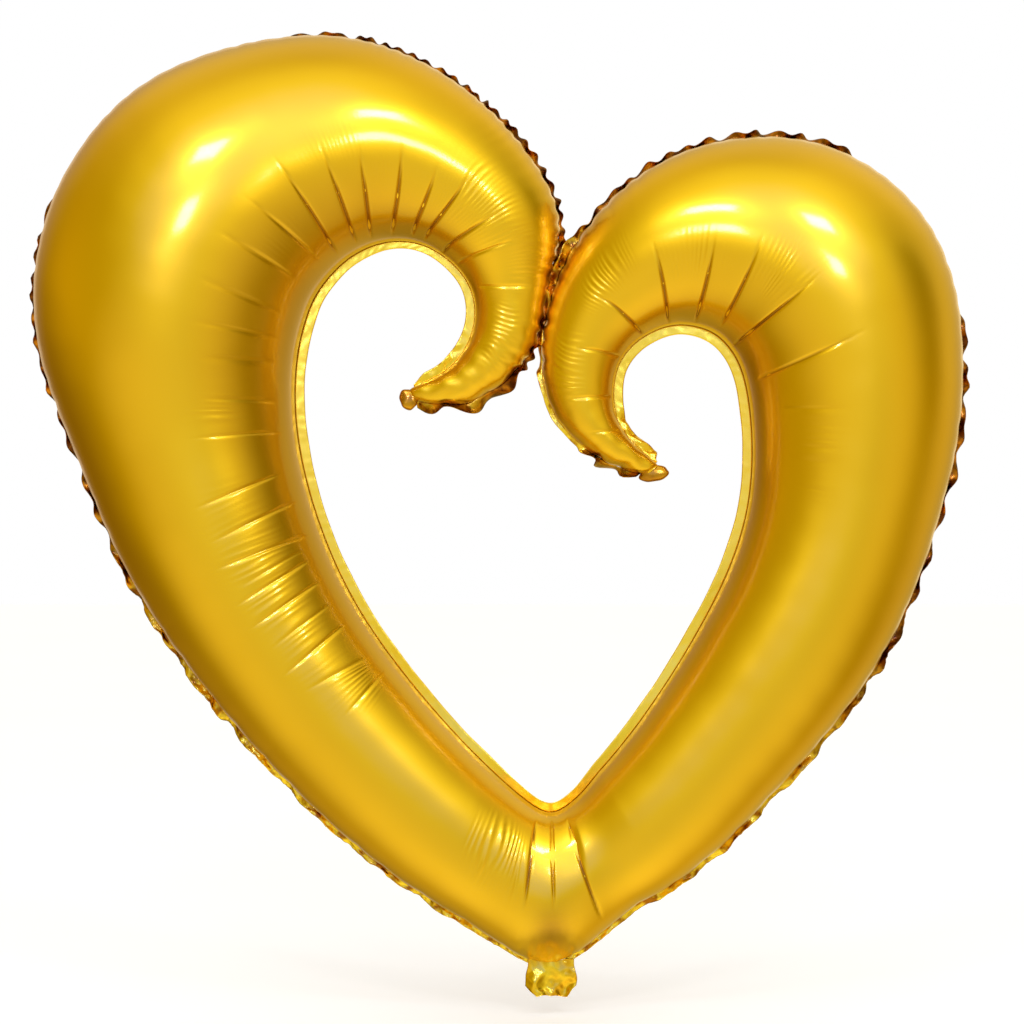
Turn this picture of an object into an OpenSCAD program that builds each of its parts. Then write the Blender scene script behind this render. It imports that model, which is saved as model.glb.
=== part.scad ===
// Open heart foil balloon, inflated: one tapering tube that curls inwards at both ends.
// Frame: +Z up, front faces -Y, origin at the throat where the ribbon is tied.

/* [Heart] */
// Width of the inflated heart between the outer seams
heart_w = 928; // [750:1:1200]
// Height of the inflated heart from the throat to the top of the left lobe
heart_h = 925; // [750:1:1200]
// Depth of the tube as a share of its width
puff = 0.88; // [0.6:0.01:1.05]

/* [Foil and seams] */
// Modelled thickness of one sheet of foil
film_t = 0.8; // [0.5:0.05:1.4]
// Width of the smooth welded margin along the inside of the heart
inner_margin_w = 10; // [5:0.5:14]
// Width of the outer welded margin at the crest of a pucker
outer_margin_w = 9; // [5:0.5:14]
// How far the valley of a pucker draws back from its crest
pucker_d = 5; // [0:0.5:5]
// Length of one pucker along the outer seam
pucker_l = 26; // [16:1:40]
// Gap between the welded margins where the two curls lean together
curl_gap = 1; // [0.4:0.1:2]
// Length of the flat tab past the end of each curl
tip_tab_l = 17; // [10:0.5:24]
// Width of the rounded end of that tab
tip_tab_w = 18; // [10:0.5:24]

/* [Tail] */
// Width of the filling tail
tail_w = 52; // [36:1:70]
// Length of the filling tail below its fold
tail_l = 32; // [20:1:60]
// Size of the cut corners at the mouth of the tail
tail_corner = 10; // [4:0.5:14]
// How much narrower the tail is at its fold, on each side
tail_waist = 2; // [0:0.5:6]
// Space between the throat and the folded tail
fold_clearance = 0.5; // [0.3:0.1:2]

/* [Valve] */
// Width of the flat valve tube
valve_w = 28; // [16:1:34]
// Length of the valve tube inside the balloon
valve_l = 95; // [50:1:120]
// Modelled thickness of one valve film
valve_t = 0.6; // [0.4:0.05:1]
// Play between the valve tube's side edges and the welds beside it
valve_slip = 0.1; // [0.05:0.05:0.3]

/* [Hidden] */

gold = [0.86, 0.64, 0.13];
pale_gold = [0.95, 0.78, 0.3];
clear_film = [0.88, 0.9, 0.92, 0.7];

// The heart as drawn: 928 wide and 925 high, from the tip of the left curl round to the right one.
// Each row is one section of the tube: [outer seam x, outer seam z, inner seam x, inner seam z].
drawn_w = 928;
drawn_h = 925;
drawn_sections = [
    // left curl
    [-135, 561, -137, 575], [ -88, 558, -107, 590], [ -45, 581,  -86, 613],
    [ -16, 618,  -75, 643], [  -5, 672,  -77, 677], [   8, 734,  -95, 706],
    [ -15, 798, -124, 725], [ -72, 862, -157, 727], [-175, 918, -188, 714],
    // left lobe and arm
    [-300, 918, -215, 692], [-415, 870, -234, 668], [-495, 765, -245, 643],
    [-515, 637, -253, 609], [-483, 528, -256, 562], [-430, 403, -246, 487],
    [-350, 279, -208, 382], [-240, 157, -143, 283], [-120,  62,  -62, 194],
    [ -68,  30,  -28, 164],
    // point of the heart
    [   0,   0,   -1, 150],
    // right arm and lobe
    [  68,  44,   24, 163], [ 118,  76,   50, 187], [ 225, 172,  116, 272],
    [ 332, 308,  177, 384], [ 394, 468,  201, 497], [ 411, 612,  194, 580],
    [ 378, 735,  180, 612], [ 276, 815,  160, 630], [ 162, 819,  133, 637],
    // right curl
    [  75, 777,  105, 634], [  21, 711,   81, 620], [  -2, 650,   65, 598],
    [  -8, 596,   60, 570], [   3, 549,   67, 541], [  31, 516,   83, 519],
    [  60, 497,   95, 508], [  89, 488,  105, 499],
];
point_of_heart = 19;
last = len(drawn_sections) - 1;
sections = [
    for (r = drawn_sections)
        [r[0] * heart_w / drawn_w, r[1] * heart_h / drawn_h,
         r[2] * heart_w / drawn_w, r[3] * heart_h / drawn_h]
];

weld_t = 2 * valve_t;
fold_z = -(weld_t / 2 + film_t + fold_clearance);

// Share by which the tube is flatter at the throat, and how many sections that reaches.
throat_draw = 0.1;
throat_reach = 1.2;

rings_per_section = 3;
ring_points = 12;
seam_steps = 16;
pucker_sharpness = 2;

// ---- the tube ----

function mixed(a, b, c, d, t) =
    0.5 * (2 * b + (c - a) * t + (2 * a - 5 * b + 4 * c - d) * t * t
           + (3 * b - a - 3 * c + d) * t * t * t);

// Section of the tube at t, where whole numbers are the rows above.
function section_at(t) =
    let (k = min(floor(t), last - 1),
         b = sections[k],
         c = sections[k + 1],
         a = k == 0 ? 2 * b - c : sections[k - 1],
         d = k == last - 1 ? 2 * c - b : sections[k + 2])
    mixed(a, b, c, d, t - k);

function outer_edge(s) = [s[0], s[1]];
function inner_edge(s) = [s[2], s[3]];
function across(s) = (inner_edge(s) - outer_edge(s)) / norm(inner_edge(s) - outer_edge(s));
function mid(s) = (inner_edge(s) + outer_edge(s)) / 2;
function along(t) =
    let (step = mid(section_at(min(t + 0.05, last))) - mid(section_at(max(t - 0.05, 0))))
    step / norm(step);

function near_throat(t) = exp(-pow((t - point_of_heart) / throat_reach, 2));

// One half ring of the tube at t: side is -1 in front and 1 behind, inset is 0 outside and
// film_t inside, and shift moves it along the tube.
function half_ring(t, side, inset, shift) =
    let (s = section_at(t),
         half_w = norm(inner_edge(s) - outer_edge(s)) / 2,
         depth = half_w * puff * (1 - throat_draw * near_throat(t)),
         centre = mid(s) + shift * along(t))
    [for (j = [0 : ring_points])
        let (phi = 180 * j / ring_points,
             p = centre - across(s) * (half_w - inset) * cos(phi))
        [p[0], side * (weld_t / 2 + (depth - inset) * sin(phi)), p[1]]];

module panel(side) {
    rings = last * rings_per_section;
    row = ring_points + 1;
    outside = [for (k = [0 : rings]) each half_ring(k / rings_per_section, side, 0, 0)];
    inside = [for (k = [0 : rings])
        each half_ring(k / rings_per_section, side, film_t,
                       k == 0 ? film_t : k == rings ? -film_t : 0)];
    n = len(outside);
    skin = [for (k = [0 : rings - 1], j = [0 : ring_points - 1])
        let (a = k * row + j, b = a + row)
        each [[a, b, a + 1], [a + 1, b, b + 1],
              [n + a, n + a + 1, n + b], [n + a + 1, n + b + 1, n + b]]];
    rims = [for (k = [0 : rings - 1])
        let (a = k * row, b = a + row, c = a + ring_points, d = c + row)
        each [[a, n + a, b], [n + a, n + b, b],
              [c, d, n + c], [n + c, d, n + d]]];
    e = rings * row;
    ends = [
        each [for (j = [1 : ring_points - 1]) [0, j, j + 1]],
        each [for (j = [1 : ring_points - 1]) [n, n + j + 1, n + j]],
        [0, ring_points, n + ring_points], [0, n + ring_points, n],
        each [for (j = [1 : ring_points - 1]) [e, e + j + 1, e + j]],
        each [for (j = [1 : ring_points - 1]) [n + e, n + e + j, n + e + j + 1]],
        [e, n + e + ring_points, e + ring_points], [e, n + e, n + e + ring_points],
    ];
    faces = [each skin, each rims, each ends];
    polyhedron(
        points = [each outside, each inside],
        faces = side > 0 ? faces : [for (f = faces) [f[2], f[1], f[0]]]
    );
}

// ---- welded margins ----

// A flat outline drawn in the plane of the seam, filled from y_low to y_high.
module sheet(y_low, y_high) {
    translate([0, y_high, 0]) rotate([90, 0, 0]) linear_extrude(y_high - y_low) children();
}

outer_line = [for (k = [0 : last * seam_steps]) section_at(k / seam_steps)];
turn = point_of_heart * seam_steps;

// Distance along the outer seam up to each of its points.
outer_run = [
    for (k = 0, run = 0; k < len(outer_line);
         run = run + (k + 1 < len(outer_line)
                      ? norm(outer_edge(outer_line[k + 1]) - outer_edge(outer_line[k])) : 0),
         k = k + 1) run
];

function nearest(p, others) = min([for (q = others) norm(p - q)]);
left_points = [for (k = [0 : 2 : turn]) outer_edge(outer_line[k])];
right_points = [for (k = [turn : 2 : len(outer_line) - 1]) outer_edge(outer_line[k])];

// Width of the outer margin at point k: puckered, never lower than the throat, and narrow where
// the two curls lean together.
function outer_margin(k) =
    let (p = outer_edge(outer_line[k]),
         up = across(outer_line[k])[1],
         wave = pow(abs(sin(180 * outer_run[k] / pucker_l)), 1 / pucker_sharpness),
         puckered = outer_margin_w - pucker_d * (1 - wave),
         above_throat = up > 0.1 ? p[1] / up : outer_margin_w,
         room = p[1] > heart_h / 3
                ? (nearest(p, k < turn ? right_points : left_points) - curl_gap) / 2
                : outer_margin_w)
    max(min(puckered, above_throat, room), 0);

module outer_seam(k_from, k_to) {
    ks = [for (k = [k_from : k_to])
        if (norm(outer_edge(outer_line[k])) > valve_w / 2 + valve_slip) k];
    sheet(-weld_t / 2, weld_t / 2)
        polygon([
            for (k = ks) outer_edge(outer_line[k]) - across(outer_line[k]) * outer_margin(k),
            for (i = [len(ks) - 1 : -1 : 0])
                outer_edge(outer_line[ks[i]]) + across(outer_line[ks[i]]) * film_t,
        ]);
}

module left_outer_seam() {
    color(gold) outer_seam(0, turn);
}

module right_outer_seam() {
    color(gold) outer_seam(turn, len(outer_line) - 1);
}

module inner_seam() {
    line = [for (k = [0 : last * seam_steps / 2]) section_at(2 * k / seam_steps)];
    color(pale_gold) sheet(-weld_t / 2, weld_t / 2)
        polygon([
            for (s = line) inner_edge(s) + across(s) * inner_margin_w,
            for (k = [len(line) - 1 : -1 : 0]) inner_edge(line[k]) - across(line[k]) * film_t,
        ]);
}

// Flat end of a curl: u runs from the outer seam to the inner one, v away from the tube.
module tip_tab(t, v_sign, outer_w) {
    s = section_at(t);
    u = across(s);
    v = v_sign * along(t);
    half_w = norm(inner_edge(s) - outer_edge(s)) / 2;
    r = tip_tab_w / 2;
    tongue = half_w - film_t;
    function at(p) = mid(s) + u * p[0] + v * p[1];
    sheet(-weld_t / 2, weld_t / 2)
        polygon([for (p = [
            [-tongue, -film_t], [-tongue, 0], [-half_w - outer_w, 0], [-r, tip_tab_l - r],
            for (angle = [180 : -15 : 0]) [r * cos(angle), tip_tab_l - r + r * sin(angle)],
            [half_w + inner_margin_w, 0], [tongue, 0], [tongue, -film_t],
        ]) at(p)]);
}

module left_tip_tab() {
    color(gold) tip_tab(0, -1, outer_margin(0));
}

module right_tip_tab() {
    color(gold) tip_tab(last, 1, outer_margin(len(outer_line) - 1));
}

// ---- panels ----

module front_panel() {
    color(gold) panel(-1);
}

module back_panel() {
    color(gold) panel(1);
}

// ---- valve ----

module valve_film(z_low, z_high) {
    translate([-valve_w / 2, z_low]) square([valve_w, z_high - z_low]);
}

module valve_front_film() {
    color(clear_film) sheet(-valve_t, 0) valve_film(0, valve_l);
}

module valve_back_film() {
    color(clear_film) sheet(0, valve_t) valve_film(0, valve_l);
}

// ---- tail, which folds about the line z = fold_z ----

module tail_outline() {
    top = tail_w / 2 - tail_waist;
    side = tail_w / 2;
    mouth = side - tail_corner;
    low = fold_z - tail_l;
    polygon([
        [-top, fold_z], [top, fold_z], [side, low + tail_corner], [mouth, low],
        [-mouth, low], [-side, low + tail_corner],
    ]);
}

module tail_front_film() {
    color(gold) sheet(-weld_t / 2 - film_t, -weld_t / 2) tail_outline();
}

module tail_back_film() {
    color(gold) sheet(weld_t / 2, weld_t / 2 + film_t) tail_outline();
}

// The part of the tail's outline outside the valve tube: side is -1 on the left, 1 on the right.
module tail_weld(side) {
    inner = valve_w / 2 + valve_slip;
    sheet(-weld_t / 2, weld_t / 2)
        intersection() {
            tail_outline();
            translate([side > 0 ? inner : -inner - tail_w, fold_z - 2 * tail_l])
                square([tail_w, 3 * tail_l]);
        }
}

module tail_left_weld() {
    color(pale_gold) tail_weld(-1);
}

module tail_right_weld() {
    color(pale_gold) tail_weld(1);
}

module tail_valve_front_film() {
    color(clear_film) sheet(-valve_t, 0) valve_film(fold_z - tail_l, fold_z);
}

module tail_valve_back_film() {
    color(clear_film) sheet(0, valve_t) valve_film(fold_z - tail_l, fold_z);
}

front_panel();
back_panel();
left_outer_seam();
right_outer_seam();
inner_seam();
left_tip_tab();
right_tip_tab();
valve_front_film();
valve_back_film();
tail_front_film();
tail_back_film();
tail_left_weld();
tail_right_weld();
tail_valve_front_film();
tail_valve_back_film();
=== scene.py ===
# Heart foil balloon: two foil panels with creases, puckered and crumpled welded margins, and a
# gathered filling tail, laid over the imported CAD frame. Lengths are in metres unless a name says mm.
import math

import bpy
import numpy as np
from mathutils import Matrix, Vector


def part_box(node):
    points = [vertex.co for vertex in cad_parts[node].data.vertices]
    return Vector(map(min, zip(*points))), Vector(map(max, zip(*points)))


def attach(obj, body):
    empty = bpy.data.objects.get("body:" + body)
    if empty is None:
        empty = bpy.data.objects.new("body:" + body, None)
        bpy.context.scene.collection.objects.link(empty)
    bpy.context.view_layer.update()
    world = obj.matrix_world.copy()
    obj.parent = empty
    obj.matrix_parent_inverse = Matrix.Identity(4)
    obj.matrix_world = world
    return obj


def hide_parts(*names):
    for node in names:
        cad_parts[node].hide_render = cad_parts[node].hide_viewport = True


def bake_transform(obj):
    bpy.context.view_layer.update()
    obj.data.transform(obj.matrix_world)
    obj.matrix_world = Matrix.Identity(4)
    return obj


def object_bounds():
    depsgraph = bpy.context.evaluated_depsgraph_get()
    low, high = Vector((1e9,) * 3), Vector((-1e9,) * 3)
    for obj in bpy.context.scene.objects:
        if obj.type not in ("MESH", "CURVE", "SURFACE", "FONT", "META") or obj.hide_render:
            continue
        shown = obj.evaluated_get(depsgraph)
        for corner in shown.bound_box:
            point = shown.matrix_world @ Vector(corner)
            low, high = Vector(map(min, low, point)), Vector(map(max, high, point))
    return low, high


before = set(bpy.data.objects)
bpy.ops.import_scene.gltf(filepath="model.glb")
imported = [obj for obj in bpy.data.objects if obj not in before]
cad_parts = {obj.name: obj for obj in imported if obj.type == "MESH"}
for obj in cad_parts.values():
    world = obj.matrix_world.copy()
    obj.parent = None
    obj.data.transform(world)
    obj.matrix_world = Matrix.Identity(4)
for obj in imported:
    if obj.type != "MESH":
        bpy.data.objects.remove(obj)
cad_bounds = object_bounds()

MM = 0.001

# ---- sizes ----

# The tube's sections in mm, from the tip of the left curl round to the right one, as the CAD
# draws them: [outer seam x, outer seam z, inner seam x, inner seam z].
SECTIONS_MM = [
    # left curl
    [-135, 561, -137, 575], [-88, 558, -107, 590], [-45, 581, -86, 613],
    [-16, 618, -75, 643], [-5, 672, -77, 677], [8, 734, -95, 706],
    [-15, 798, -124, 725], [-72, 862, -157, 727], [-175, 918, -188, 714],
    # left lobe and arm
    [-300, 918, -215, 692], [-415, 870, -234, 668], [-495, 765, -245, 643],
    [-515, 637, -253, 609], [-483, 528, -256, 562], [-430, 403, -246, 487],
    [-350, 279, -208, 382], [-240, 157, -143, 283], [-120, 62, -62, 194],
    [-68, 30, -28, 164],
    # point of the heart
    [0, 0, -1, 150],
    # right arm and lobe
    [68, 44, 24, 163], [118, 76, 50, 187], [225, 172, 116, 272],
    [332, 308, 177, 384], [394, 468, 201, 497], [411, 612, 194, 580],
    [378, 735, 180, 612], [276, 815, 160, 630], [162, 819, 133, 637],
    # right curl
    [75, 777, 105, 634], [21, 711, 81, 620], [-2, 650, 65, 598],
    [-8, 596, 60, 570], [3, 549, 67, 541], [31, 516, 83, 519],
    [60, 497, 95, 508], [89, 488, 105, 499],
]
POINT_OF_HEART = 19
LAST = len(SECTIONS_MM) - 1
# Width and height of the front panel drawn through those sections, in mm.
DRAWN_W_MM = 926.0
DRAWN_H_MM = 923.9

PUFF = 0.88
SEAM_HALF_T = 0.0006
MARGIN_W = 0.0072
INNER_MARGIN_W = 0.010
FILM_T = 0.0006
WELD_HALF_T = 0.0003

PANEL_ROWS = 1900
PANEL_COLS = 40
MARGIN_COLS = 8
LINING_COLS = 9
LINING_GAP = 0.0025
TIP_CLOSE = 0.007

# Puckers of the outer seam: their spacing, and how far they swing the seam and draw it in.
PUCKER_SPACING = (0.017, 0.028)
SEAM_SWING = 0.0021
SEAM_DRAWN_IN = 0.0013
# How far each curl is pushed towards the other.
CURL_PUSH = 0.0022
# A crease: the radius of its line and of its closed core, and how far its dip reaches.
CREASE_LINE = 0.0014
CREASE_CORE = 0.0011
CREASE_DIP = 0.0065
FAN_DEPTH = 0.0030
# Radius round the throat within which the tube narrows, and within which its film is gathered.
FUNNEL_RADIUS = 0.026
GATHER_RADIUS = 0.03

TAB_RINGS = 12
TAB_SPOKES = 48

TAIL_CORNER = 0.010
TAIL_WAIST = 0.002
TAIL_SEED = 41

# Painted shade: the dark tone that the foil's colour turns to in closed creases, on the inner side of the
# curls and in the funnel.
PAINTED_SHADE_BROWN = (0.30, 0.11, 0.006)
BUMP_DISTANCE = 0.0006

FLOOR_HALF_SIZE = 12.0
FLOOR_BELOW = 0.02
FLOOR_GLOW = 0.16
SOFTBOX_AIM = (0, 0, 0.7)
CAMERA_AIM = (-0.039, 0.0, 0.450)
CAMERA_DISTANCE = 2.7
SEEN_WIDTH = 1.024

panel_lo, panel_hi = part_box("front_panel")
tail_lo, tail_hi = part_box("tail_front_film")
tail_back_lo, tail_back_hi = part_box("tail_back_film")

# ---- small numeric helpers ----


def smooth(low, high, x):
    """0 below low, 1 above high, and a smooth step between them."""
    x = np.clip((np.asarray(x, float) - low) / (high - low), 0, 1)
    return x * x * (3 - 2 * x)


def bump(x, centre, half):
    """A smooth bump of height 1 at centre that is 0 from half away."""
    return smooth(0, 1, 1 - np.abs((np.asarray(x, float) - centre) / half))


def window(x, low, low_full, high_full, high):
    """1 between low_full and high_full, easing to 0 at low and high."""
    return smooth(low, low_full, x) * smooth(high, high_full, x)


def unit(v):
    return v / np.maximum(np.linalg.norm(v, axis=-1, keepdims=True), 1e-12)


def cubic_through(knots, values, at):
    """A natural cubic spline through values at knots, read at the places in at."""
    count = len(knots)
    gap = np.diff(knots)
    system = np.eye(count)
    right = np.zeros_like(values)
    for i in range(1, count - 1):
        system[i, i - 1:i + 2] = gap[i - 1], 2 * (gap[i - 1] + gap[i]), gap[i]
        right[i] = 6 * ((values[i + 1] - values[i]) / gap[i] - (values[i] - values[i - 1]) / gap[i - 1])
    bend = np.linalg.solve(system, right)
    k = np.clip(np.searchsorted(knots, at) - 1, 0, count - 2)
    left, over, h = (knots[k + 1] - at)[:, None], (at - knots[k])[:, None], gap[k][:, None]
    return ((bend[k] * left ** 3 + bend[k + 1] * over ** 3) / (6 * h)
            + (values[k] / h - bend[k] * h / 6) * left
            + (values[k + 1] / h - bend[k + 1] * h / 6) * over)


def waves(rng, x, y, size, count=14, stretch=1.0):
    """Soft irregular relief of about unit height, with lumps about size across."""
    total = np.zeros(np.broadcast(x, y).shape)
    for _ in range(count):
        angle = rng.uniform(0, 2 * math.pi)
        pitch = 2 * math.pi / (size * rng.uniform(0.7, 1.8))
        phase = rng.uniform(0, 2 * math.pi)
        total += np.sin(pitch * (math.cos(angle) * x + stretch * math.sin(angle) * y) + phase)
    return total / math.sqrt(count / 2)


def jitter_line(rng, x, size):
    """Irregular values of about unit height along a line."""
    return waves(rng, x, np.zeros_like(x), size, count=10)


# ---- the tube's rails ----


class Tube:
    """The two seam lines of the heart, read at evenly spaced places along the tube."""

    def __init__(self, rows):
        table = np.array(SECTIONS_MM, float)
        scale_x = (panel_hi[0] - panel_lo[0]) / DRAWN_W_MM
        scale_z = (panel_hi[2] - panel_lo[2]) / DRAWN_H_MM
        table = table * np.array([scale_x, scale_z, scale_x, scale_z])
        centre = (table[:, :2] + table[:, 2:]) / 2
        self.knots = np.r_[0, np.cumsum(np.linalg.norm(np.diff(centre, axis=0), axis=1))]
        inside = self.row_places(rows)
        rails = cubic_through(self.knots, table, inside)
        step = inside[1] - inside[0]
        extra = np.arange(1, int(TIP_CLOSE / step) + 1) * step
        head = rails[0] - np.outer(extra[::-1], (rails[1] - rails[0]) / step)
        foot = rails[-1] + np.outer(extra, (rails[-1] - rails[-2]) / step)
        self.u = np.r_[-extra[::-1], inside, inside[-1] + extra]
        rails = np.vstack([head, rails, foot])
        self.outer, self.inner = rails[:, :2], rails[:, 2:]
        self.t = np.interp(self.u, self.knots, np.arange(LAST + 1))
        self.settle()
        self.across = unit(self.inner - self.outer)
        self.half_w = np.linalg.norm(self.inner - self.outer, axis=1) / 2
        past = np.clip(np.maximum(-self.u, self.u - self.knots[-1]) / TIP_CLOSE, 0, 0.995)
        self.closing = np.sqrt(1 - past ** 2)
        self.depth = self.half_w * PUFF * (1 - 0.1 * np.exp(-((self.t - POINT_OF_HEART) / 1.2) ** 2))
        self.outer_run = np.r_[0, np.cumsum(np.linalg.norm(np.diff(self.outer, axis=0), axis=1))]
        self.inner_run = np.r_[0, np.cumsum(np.linalg.norm(np.diff(self.inner, axis=0), axis=1))]

    def row_places(self, rows):
        """Places along the tube, closer together where the creases and fine wrinkles are."""
        even = np.linspace(0, self.knots[-1], 4000)
        t = np.interp(even, self.knots, np.arange(LAST + 1))
        # The two curls, then the point of the heart and the left arm, then the point's own creases.
        closeness = 1 + 1.5 * (window(t, 0, 3, 9, 11) + window(t, 24, 27, 32, 36))
        closeness += 1.5 * window(t, 16.5, 17.2, 19.6, 20.5) + 1.4 * window(t, 12.4, 13.4, 15.8, 16.6)
        closeness += 2.0 * window(t, 18.2, 18.5, 19.6, 20.0)
        counted = np.r_[0, np.cumsum((closeness[1:] + closeness[:-1]) / 2)]
        return np.interp(np.linspace(0, counted[-1], rows), counted, even)

    def settle(self):
        """Closes most of the gap between the two curls of the CAD, and rounds the heart's hole."""
        self.outer[:, 0] += CURL_PUSH * bump(self.t, 4.2, 2.2)
        self.outer[:, 0] -= CURL_PUSH * bump(self.t, 31.3, 2.4)
        across = unit(self.inner - self.outer)
        # The right arm, the left curl and the right curl.
        inwards = 0.0045 * window(self.t, 20.0, 21.3, 22.4, 23.8)
        inwards += 0.0118 * window(self.t, 2.2, 6.0, 6.0, 8.8)
        inwards += 0.003 * window(self.t, 28.0, 29.5, 31.5, 33.5)
        self.inner += inwards[:, None] * across

    def place(self, t):
        """Distance along the tube at section number t."""
        return np.interp(t, np.arange(LAST + 1), self.knots)


tube = Tube(PANEL_ROWS)

# ---- puckers along the outer seam ----


class Puckers:
    """The ruffle of the outer seam: it swings to one face at a notch and to the other at the next."""

    def __init__(self, seed):
        rng = np.random.default_rng(seed)
        run = tube.outer_run
        notches = [-0.001]
        while notches[-1] < run[-1]:
            t = float(np.interp(notches[-1], run, tube.t))
            closer = 1 - 0.35 * window(t, 1.4, 1.8, 7.5, 9) + 0.8 * window(t, 12.3, 13.5, 24.0, 25.0)
            closer += 0.6 * smooth(2.2, 1.9, t)
            notches.append(notches[-1] + rng.uniform(*PUCKER_SPACING) * float(closer))
        notches = np.array(notches)
        k = np.clip(np.searchsorted(notches, run, side="right") - 1, 0, len(notches) - 2)
        x = np.clip((run - notches[k]) / (notches[k + 1] - notches[k]), 0, 1)
        swing = rng.uniform(0.72, 1.0, len(notches))
        face = np.where(np.arange(len(notches)) % 2, -1.0, 1.0)
        ease = np.cos(math.pi * x)
        self.turn = ease * np.where(ease > 0, swing[k], swing[k + 1]) * face[k]
        middles = (notches[1:] + notches[:-1]) / 2
        self.size = np.interp(run, middles, rng.uniform(0.72, 1.12, len(middles)))
        self.from_notch = np.minimum(run - notches[k], notches[k + 1] - run)


puckers = Puckers(7)
# How strongly the outer seam puckers: less near the throat and round the flat end of the right curl.
pucker_gain = 1 - 0.8 * window(tube.t, 17.9, 18.7, 19.5, 20.2) - 0.8 * window(tube.t, 31.9, 32.4, 34.0, 34.3)
seam_y = SEAM_SWING * puckers.turn * pucker_gain
seam_in = SEAM_DRAWN_IN * puckers.turn ** 2 * pucker_gain

# ---- creases ----

# Creases of the front panel, each from its end near the middle of the tube to its end near the
# inner seam: (section, share across from the outer seam, section, share across, depth in mm).
LEFT_CURL_CREASES = [
    (4.0, 0.30, 3.9, 0.75, 1.6), (4.9, 0.45, 4.7, 0.85, 2.0), (5.5, 0.50, 5.2, 0.90, 2.6),
    (6.3, 0.50, 5.9, 0.85, 3.2), (6.8, 0.55, 6.3, 0.85, 3.2), (7.4, 0.55, 7.0, 0.85, 3.3),
    (8.0, 0.60, 7.7, 0.85, 3.2), (8.5, 0.60, 8.2, 0.85, 3.2), (9.1, 0.60, 8.8, 0.85, 2.8),
    (9.7, 0.65, 9.4, 0.80, 2.4), (10.4, 0.65, 10.2, 0.80, 1.9),
]
LEFT_ARM_CREASES = [
    (11.2, 0.65, 11.2, 0.80, 1.2), (11.8, 0.65, 11.8, 0.80, 1.4), (12.3, 0.65, 12.3, 0.80, 1.4),
    (12.9, 0.65, 13.0, 0.80, 1.5), (13.3, 0.60, 13.4, 0.80, 1.4), (13.9, 0.55, 13.9, 0.75, 2.0),
    (14.2, 0.55, 14.2, 0.80, 1.9), (14.4, 0.50, 14.5, 0.80, 1.9), (14.6, 0.55, 14.6, 0.75, 0.7),
    (14.7, 0.50, 14.7, 0.75, 1.8), (14.9, 0.50, 14.9, 0.75, 1.9), (15.1, 0.55, 15.1, 0.75, 0.8),
    (15.3, 0.50, 15.3, 0.75, 1.8), (15.5, 0.55, 15.6, 0.75, 1.2), (15.8, 0.60, 15.8, 0.80, 0.8),
]
RIGHT_CURL_CREASES = [
    (24.6, 0.60, 24.6, 0.75, 0.8), (25.3, 0.55, 25.0, 0.85, 2.6), (26.2, 0.60, 26.1, 0.90, 3.2),
    (27.1, 0.60, 26.9, 0.85, 3.1), (27.8, 0.60, 27.7, 0.90, 3.1), (28.8, 0.55, 28.6, 0.90, 3.1),
    (30.1, 0.50, 29.6, 0.90, 2.8), (31.3, 0.50, 30.8, 0.85, 2.2), (32.6, 0.40, 32.2, 0.85, 1.8),
    (33.6, 0.40, 33.4, 0.80, 1.3),
]
POINT_CREASES = [
    (18.5, 0.80, 18.5, 0.45, 2.8), (19.05, 0.85, 19.05, 0.45, 2.3), (19.6, 0.80, 19.8, 0.25, 2.9),
]
CREASES = LEFT_CURL_CREASES + LEFT_ARM_CREASES + RIGHT_CURL_CREASES + POINT_CREASES

# Patches of fine parallel wrinkles: (section, half reach in sections, share across, half reach,
# spacing in mm, depth in mm).
FINE_WRINKLES = [
    (5.7, 1.3, 0.50, 0.20, 4.5, 0.35), (4.5, 1.0, 0.35, 0.20, 5.0, 0.35),
    (8.0, 1.2, 0.55, 0.10, 4.5, 0.05), (9.9, 0.8, 0.70, 0.10, 5.0, 0.10),
    (12.6, 1.2, 0.70, 0.10, 7.0, 0.10), (14.7, 1.3, 0.60, 0.15, 7.0, 0.15),
    (17.8, 0.8, 0.55, 0.20, 6.5, 0.85), (26.6, 0.7, 0.60, 0.10, 5.0, 0.20),
    (28.2, 0.9, 0.60, 0.10, 5.0, 0.20), (29.9, 0.8, 0.45, 0.15, 5.0, 0.35),
    (31.8, 1.2, 0.40, 0.20, 6.0, 0.35), (2.8, 1.2, 0.50, 0.25, 5.5, 0.50),
    (14.5, 0.4, 0.65, 0.10, 5.0, 0.30), (15.7, 0.3, 0.70, 0.10, 4.0, 0.20),
    (13.0, 0.3, 0.65, 0.10, 7.0, 0.30), (24.2, 0.6, 0.65, 0.10, 7.0, 0.30),
]


def along_creases(share):
    """Places along the tube for a grid whose rows run along the creases, so that no crease is ragged."""
    listed = sorted(CREASES)
    spots = [tube.place(c[0]) for c in listed]
    slants = [(tube.place(c[2]) - tube.place(c[0])) / (c[3] - c[1]) for c in listed]
    ends = [0, tube.place(11.5), tube.place(23.5), tube.knots[-1]]
    order = np.argsort(spots + ends)
    slant = np.interp(tube.u, np.array(spots + ends)[order], np.array(slants + [0] * len(ends))[order])
    from_middle = (share - 0.5) * smooth(0.2, 0.5, share)
    return tube.u[:, None] + slant[:, None] * from_middle[None, :]


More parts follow.
